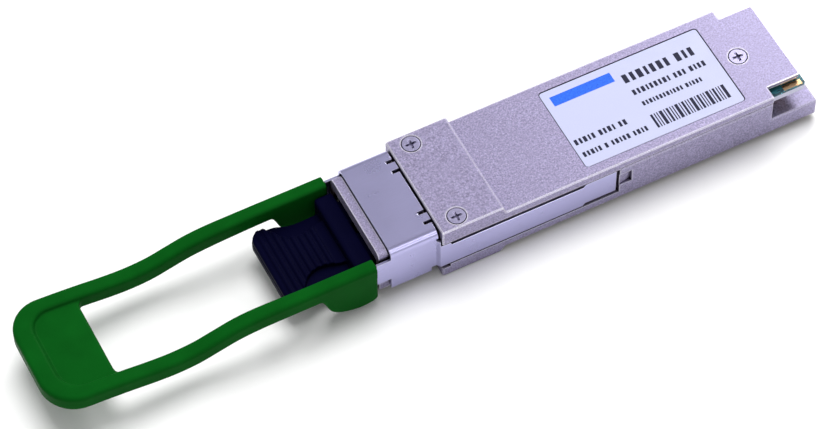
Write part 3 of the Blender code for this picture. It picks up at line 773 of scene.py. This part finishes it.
def plug_grip_plate():
    """The lower half of the grip, a little broader than the pad."""
    broad = [
        (-22.0, 5.9), (-24.2, 5.85), (-26.2, 5.8), (-27.0, 5.83), (-27.6, 5.9), (-28.1, 6.0), (-28.6, 6.15),
        (-29.0, 6.32), (-29.4, 6.5), (-29.85, 6.64), (-30.3, 6.72),
    ]
    broad += arc((-32.15, 4.95), 1.85, 85, 180, 12)
    return bevel(prism("grip_plate", mirrored(broad), "Z", 3.0, 4.4), 0.2, 3)


def plug_prong(side):
    """The square prong that fills one port, hollow where the port's barrel goes."""
    y, z = side * PORT_PITCH / 2, PORT_Z
    prong = block("prong", -21.0, -13.4, y - PRONG_HALF, y + PRONG_HALF, z - PRONG_HALF, z + PRONG_HALF)
    bore = prism("bore", arc((y, z), PRONG_BORE_R, 0, 348.75, 31), "X", -19.2, -13.0)
    return carve(settle(bevel(prong, 0.3, 4)), bore)


def dust_plug():
    flange = bevel(block("flange", -23.3, -20.3, -6.85, 6.85, 1.3, 6.9), 0.5, 5)
    shells = [flange, plug_grip_plate(), plug_thumb_pad(), plug_prong(1), plug_prong(-1)]
    plug = moulded(merge("dust_plug_moulding", *shells), 0.11, 2)
    fit(plug, BLACK, "dust_plug", "black_plastic", "dust_plug")


# ==== latch slider ====
SHEET = 0.4
SLIDER_TOP = 9.5
SADDLE_HALF = 8.5
BEND_RADIUS = 1.0
ARM_STEP = 0.6              # the arms stand this much further out than the saddle's sides
SLOTS = (4.1, 6.0)          # comb slots on both sides of each bent-down tab
SLOT_HALF = 0.27
# along the module, from the front
TONGUE_FRONT = -25.5
TONGUE_REAR = -20.7         # the tongue widens to a shoulder here
SHOULDER_REAR = -18.4       # and the shoulder to the saddle's whole side here
SLOT_FRONT = -11.85         # the comb slots start here, and the arm's lower edge steps up
STEP_FRONT = -11.05         # the arm steps outwards between these two
STEP_REAR = -10.55
SADDLE_REAR = -10.75
GAP_FRONT = -8.9            # the arm's top edge is lower between these two, which leaves a black gap
GAP_REAR = 12.9
ARM_REAR = 18.2
# levels on the sides, from the top
BEND_LOW = 8.2
SIDE_TOP = 7.7
TONGUE_TOP = 7.2
ARM_TOP = 6.6
TONGUE_LOW = 4.0
SHOULDER_LOW = 3.0
ARM_LOW = 1.75
SIDE_LOW = 0.7
ARM_MARGIN = 0.12           # the arm's edges reach this far past ARM_TOP and ARM_LOW
GAP_DROP = 0.45             # and its top edge is this far below ARM_TOP at the gap
REAR_RISE = 0.35            # its lower edge is this far above ARM_LOW behind the gap


def slider_half_section():
    """From the middle of the saddle down one side: (y, z, kind), on the middle of the sheet."""
    top = SLIDER_TOP - SHEET / 2
    side = SADDLE_HALF - SHEET / 2
    flat = side - BEND_RADIUS
    half = [(0.0, top, "top")]
    for slot in SLOTS:
        half += [(slot - SLOT_HALF, top, "top"), (slot + SLOT_HALF, top, "top")]
    half += [(y, z, "bend") for y, z in arc((flat, top - BEND_RADIUS), BEND_RADIUS, 90, 9, 9)]
    half.append((side, BEND_LOW, "bend"))
    half += [(side, z, "side") for z in (SIDE_TOP, TONGUE_TOP)]
    half.append((side, ARM_TOP, "arm_top"))
    half += [(side, z, "side") for z in (TONGUE_LOW, SHOULDER_LOW)]
    half.append((side, ARM_LOW, "arm_low"))
    half.append((side, SIDE_LOW, "side"))
    return half


def slider_covers(x, y, z, kind):
    """Whether the sheet has metal at this place."""
    if x < TONGUE_REAR:
        return kind != "top" and TONGUE_LOW < z < TONGUE_TOP
    if x < SHOULDER_REAR:
        return kind != "top" and SHOULDER_LOW < z < SIDE_TOP
    in_slot = any(abs(y - slot) < SLOT_HALF for slot in SLOTS)
    if kind == "top" and x > SLOT_FRONT and in_slot:
        return False
    if x < STEP_FRONT:
        return x < SLOT_FRONT or z > ARM_LOW
    if x < SADDLE_REAR:
        return z > BEND_LOW or ARM_LOW < z < SIDE_TOP
    if x < STEP_REAR:
        return ARM_LOW < z < SIDE_TOP
    return ARM_LOW < z < ARM_TOP


def slider_place(x, y, z, kind):
    """Where a point of the section comes at station x."""
    if kind in ("side", "arm_top", "arm_low"):
        y += ARM_STEP * clamp((x - STEP_FRONT) / (STEP_REAR - STEP_FRONT))
    if kind == "arm_top":
        z += -GAP_DROP if GAP_FRONT < x < GAP_REAR else ARM_MARGIN
    if kind == "arm_low":
        z += REAR_RISE if x > GAP_REAR else -ARM_MARGIN
    return x, y, z


def latch_slider():
    stations = [TONGUE_FRONT, TONGUE_REAR, SHOULDER_REAR, SLOT_FRONT, STEP_FRONT, SADDLE_REAR, STEP_REAR]
    stations += [GAP_FRONT - 0.2, GAP_FRONT + 0.1]
    stations += [GAP_REAR - 0.2, GAP_REAR + 0.2, ARM_REAR]
    half = slider_half_section()
    points, faces, index = [], [], {}

    def corner(i, j, s):
        """The number of the section's point j at station i. Both sides share the middle's points."""
        key = (i, j, s if j else 1)
        if key not in index:
            index[key] = len(points)
            x, y, z = slider_place(stations[i], *half[j])
            points.append((x, s * y, z))
        return index[key]

    def face(s, *corners):
        faces.append(corners if s > 0 else corners[::-1])

    for s in (1, -1):
        for i in range(len(stations) - 1):
            for j in range(len(half) - 1):
                x = (stations[i] + stations[i + 1]) / 2
                y = (half[j][0] + half[j + 1][0]) / 2
                z = (half[j][1] + half[j + 1][1]) / 2
                if slider_covers(x, y, z, half[j][2]):
                    upper = corner(i, j, s), corner(i + 1, j, s)
                    lower = corner(i + 1, j + 1, s), corner(i, j + 1, s)
                    face(s, *upper, *lower)
        # tab bent down between the comb slots at the saddle's rear edge, which bears on the return spring
        edge = stations.index(SADDLE_REAR)
        inner, outer = corner(edge, 2, s), corner(edge, 3, s)
        points.append((SADDLE_REAR, points[inner][1], SIDE_TOP))
        points.append((SADDLE_REAR, points[outer][1], SIDE_TOP))
        face(s, inner, len(points) - 2, len(points) - 1, outer)
    slider = mesh_object("latch_slider_sheet", points, faces)
    step = slider.modifiers.new("sheet", "SOLIDIFY")
    step.thickness = SHEET * MM
    step.offset = 0.0
    step.use_even_offset = True
    settle(slider)
    smooth_and_flat(bevel(slider, 0.05, 2, 40), 22)
    fit(slider, SLIDER_STEEL, "pull_tab", "slider_steel", "latch_slider")


# ==== return springs ====
WIRE_RADIUS = 0.12
SPRING_TURNS = 7


def return_spring(name, node):
    """A coil in its pocket under the saddle, held at its front end and pressed by the slider at its rear."""
    low, high = datum_box(node)
    y, z = (low.y + high.y) / 2, (low.z + high.z) / 2
    clearance = 0.01
    radius = (high.z - low.z) / 2 - WIRE_RADIUS - clearance
    per_turn, around = 24, 8
    steps = SPRING_TURNS * per_turn
    advance = (high.x - low.x - 2 * WIRE_RADIUS) / steps
    section = arc((0.0, 0.0), WIRE_RADIUS, 0, 360 - 360 / around, around - 1)
    rings = []
    for k in range(steps + 1):
        turn = 2 * math.pi * k / per_turn
        x = low.x + WIRE_RADIUS + advance * k
        ring = []
        for out, along in section:
            reach = radius + out
            ring.append((x + along, y + reach * math.cos(turn), z + reach * math.sin(turn)))
        rings.append(ring)
    spring = smooth(loft(name, rings), 50)
    fit(spring, FASTENER, "module", "fastener_steel", node)
    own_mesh(spring)


# ==== cover screws ====
SCREW_HEAD_R = 1.35         # leaves the dark ring in the countersink
SCREW_SHANK_R = 0.66
CROSS_HALF = 0.2            # the recess: half its width, its reach at the top and at the bottom, its depth
CROSS_REACH = 0.86
CROSS_BOTTOM = 0.35
CROSS_DEPTH = 0.5


def cover_screw(node, name):
    """Flat-head screw with a tapered cross recess."""
    low, high = datum_box(node)
    x, y = (low.x + high.x) / 2, (low.y + high.y) / 2
    head = high.z
    profile = [
        (head, SCREW_HEAD_R - 0.07), (head - 0.02, SCREW_HEAD_R - 0.02), (head - 0.07, SCREW_HEAD_R),
        (head - 0.80, SCREW_SHANK_R + 0.02), (low.z + 0.35, SCREW_SHANK_R), (low.z, 0.35),
    ]
    screw = turned(name, profile, x, y, 56)
    above, floor_z = head + 0.1, head - CROSS_DEPTH
    for axis, along, across in (("Y", x, y), ("X", y, x)):
        slot = [
            (along - CROSS_REACH, above), (along - CROSS_REACH, head), (along - CROSS_BOTTOM, floor_z),
            (along + CROSS_BOTTOM, floor_z), (along + CROSS_REACH, head), (along + CROSS_REACH, above),
        ]
        carve(screw, prism("cross", slot, axis, across - CROSS_HALF, across + CROSS_HALF))
    smooth_and_flat(bevel(screw, 0.03, 2, 50), 40)
    fit(screw, FASTENER, "module", "fastener_steel", node)


# ==== card edge contacts ====
CARD_LOW, CARD_HIGH = datum_box("circuit_board")
CONTACT_PITCH = 0.8
CONTACT_COUNT = 19
CONTACT_WIDTH = 0.54
END_CONTACT_WIDTH = 0.94    # the first and the last one are wider and stand further out
END_CONTACT_SHIFT = 0.2
CONTACT_THICK = 0.03
CONTACT_INSET = 0.85        # from the card's edge
CONTACT_LENGTH = 2.7
LONG_CONTACT_REACH = 0.4    # the power and ground ones reach this much nearer to the card's edge


def card_contacts(name, z):
    """One row of plated contacts on a face of the card. Every third one is a long one."""
    work = []
    last = CONTACT_COUNT - 1
    for k in range(CONTACT_COUNT):
        y = (k - last / 2) * CONTACT_PITCH
        half = CONTACT_WIDTH / 2
        if k in (0, last):
            y += math.copysign(END_CONTACT_SHIFT, y)
            half = END_CONTACT_WIDTH / 2
        rear = CARD_HIGH.x - CONTACT_INSET
        front = rear - CONTACT_LENGTH
        if k % 3 == 0:
            rear += LONG_CONTACT_REACH
        pad = block("contact", front, rear, y - half, y + half, z - CONTACT_THICK / 2, z + CONTACT_THICK / 2)
        work.append(bevel(pad, 0.01, 1))
    contacts = merge(name, *work)
    fit(contacts, GOLD, "module", "gold_plate")


# ==== print on the label: plain marks only ====
LABEL_TOP = datum_box("cover_label")[1].z
PRINT_THICK = 0.01
LETTER_WIDTHS = (0.48, 0.38, 0.52, 0.3, 0.42)       # in shares of the line's height, like its gaps
LETTER_GAP = 0.3
WORD_GAP = 0.45
# each line's x0, x1, y0, y1 and the lengths of its words, which repeat until the line is full
PRINT_LINES = (
    (26.5, 39.8, 3.3, 4.9, (7, 3)),
    (26.6, 39.4, 0.8, 1.8, (9, 3)),
    (26.9, 37.0, -1.5, -0.7, (12,)),
    (14.6, 24.0, -3.3, -2.3, (5, 4, 2)),
    (14.7, 25.8, -5.7, -4.8, (5, 1, 5, 7)),
)


def marks(name, look, boxes):
    """Flat rectangles of ink, each (x0, x1, y0, y1) in datum millimetres."""
    high = LABEL_TOP + PRINT_THICK
    work = [block("mark", x0, x1, y0, y1, LABEL_TOP, high) for x0, x1, y0, y1 in boxes]
    printed = merge(name, *work)
    fit(printed, look, "module", "label_film")


def print_line(x0, x1, y0, y1, words):
    """A line of small plain blocks in word-like groups, which stands for a line of print."""
    height = y1 - y0
    boxes, x = [], x0
    while True:
        for count in words:
            for _ in range(count):
                wide = LETTER_WIDTHS[len(boxes) % len(LETTER_WIDTHS)] * height
                if x + wide > x1:
                    return boxes
                boxes.append((x, x + wide, y0, y1))
                x += wide + LETTER_GAP * height
            x += WORD_GAP * height


def bars(x0, x1, y0, y1, widths, gap):
    """A row of upright bars of repeating widths."""
    boxes, x = [], x0
    while x < x1:
        wide = widths[len(boxes) % len(widths)]
        boxes.append((x, x + wide, y0, y1))
        x += wide + gap
    return boxes


def label_print():
    lines = []
    for line in PRINT_LINES:
        lines += print_line(*line)
    marks("label_print_lines", INK, lines)
    marks("label_bars", INK, bars(26.8, 38.9, -6.0, -3.4, (0.36, 0.18, 0.18, 0.5, 0.18), 0.24))
    marks("label_colour_block", INK_BLUE, [(15.2, 25.3, 4.4, 6.2)])


# ==== studio, in metres in the frame ====
MIDDLE = (0.0, 0.0, 0.0)
FLOOR_REACH = 3.0
DAYLIGHT = 0.5
SUN_TILT = 18               # degrees from straight above, towards the far rear corner
SUN_SIDE = Vector((0.461, 0.887, 0.0))
SUN_SPREAD = 35
STRIP = {"shape": "RECTANGLE", "size": 0.30, "size_y": 0.05}
# the photo's viewpoint, found from the module's edges
CAMERA_PLACE = Vector((-0.132515, -0.265101, 0.429006))
CAMERA_RIGHT = Vector((0.89006, -0.45576, -0.00819))
CAMERA_FORWARD = Vector((0.25450, 0.51177, -0.82056))
FOCAL_LENGTH = 153.97       # on a sensor 36 mm wide


def floor():
    level = CAD_BOX[0].z
    corners = [(FLOOR_REACH * x, FLOOR_REACH * y, level) for x, y in ((-1, -1), (1, -1), (1, 1), (-1, 1))]
    mesh = bpy.data.meshes.new("studio_floor")
    mesh.from_pydata(corners, [], [(0, 1, 2, 3)])
    made = new_object("studio_floor", mesh)
    wear(made, floor_paper())


def light(name, kind, place, aim, energy, **settings):
    lamp = bpy.data.lights.new(name, kind)
    lamp.energy = energy
    for key, value in settings.items():
        setattr(lamp, key, value)
    made = new_object(name, lamp)
    made.location = place
    made.rotation_mode = "QUATERNION"
    made.rotation_quaternion = (Vector(aim) - Vector(place)).to_track_quat("-Z", "Y")
    return made


def gloss_strip(name, place):
    """A strip light that is seen only as a reflection in the metal."""
    light(name, "AREA", place, MIDDLE, 0.22, **STRIP).visible_diffuse = False


def studio():
    world = bpy.data.worlds.new("studio")
    world.use_nodes = True
    background = world.node_tree.nodes["Background"]
    background.inputs["Color"].default_value = (1.0, 1.0, 1.0, OPAQUE)
    background.inputs["Strength"].default_value = DAYLIGHT
    bpy.context.scene.world = world
    tilt = math.radians(SUN_TILT)
    overhead = SUN_SIDE * math.sin(tilt) + Vector((0.0, 0.0, math.cos(tilt)))
    softbox = light("overhead_softbox", "SUN", overhead, MIDDLE, 2.4, angle=math.radians(SUN_SPREAD))
    softbox.visible_glossy = False
    light("rear_panel", "AREA", (0.25, 0.22, 0.28), (0.02, 0.0, 0.0), 0.45, shape="SQUARE", size=0.12)
    gloss_strip("high_front_strip", (0.11, -0.21, 0.36))
    gloss_strip("low_front_strip", (0.10, -0.36, 0.22))
    light("right_strip", "AREA", (0.42, 0.24, 0.06), (0.0, 0.0, 0.01), 0.15, **STRIP)
    bpy.context.scene.view_settings.view_transform = "Standard"


def camera():
    lens = bpy.data.cameras.new("photo_camera")
    lens.sensor_fit = "HORIZONTAL"
    lens.sensor_width = 36.0
    lens.lens = FOCAL_LENGTH
    lens.clip_start = 0.01
    lens.clip_end = 10.0
    right, forward = CAMERA_RIGHT.normalized(), CAMERA_FORWARD.normalized()
    up = right.cross(forward).normalized()
    turn = Matrix((right, up, -forward)).transposed().to_4x4()
    made = new_object("photo_camera", lens)
    made.matrix_world = Matrix.Translation(CAMERA_PLACE) @ turn
    bpy.context.scene.camera = made


camera()
studio()
floor()
pull_tab()
dust_plug()
latch_slider()
for side in ("left", "right"):
    return_spring(f"{side}_return_spring", f"return_spring_{side}")
for place in ("front_left", "front_right", "rear"):
    cover_screw(f"cover_screw_{place}", f"{place}_screw")
card_contacts("card_contacts_upper", CARD_HIGH.z)
card_contacts("card_contacts_lower", CARD_LOW.z)
label_print()
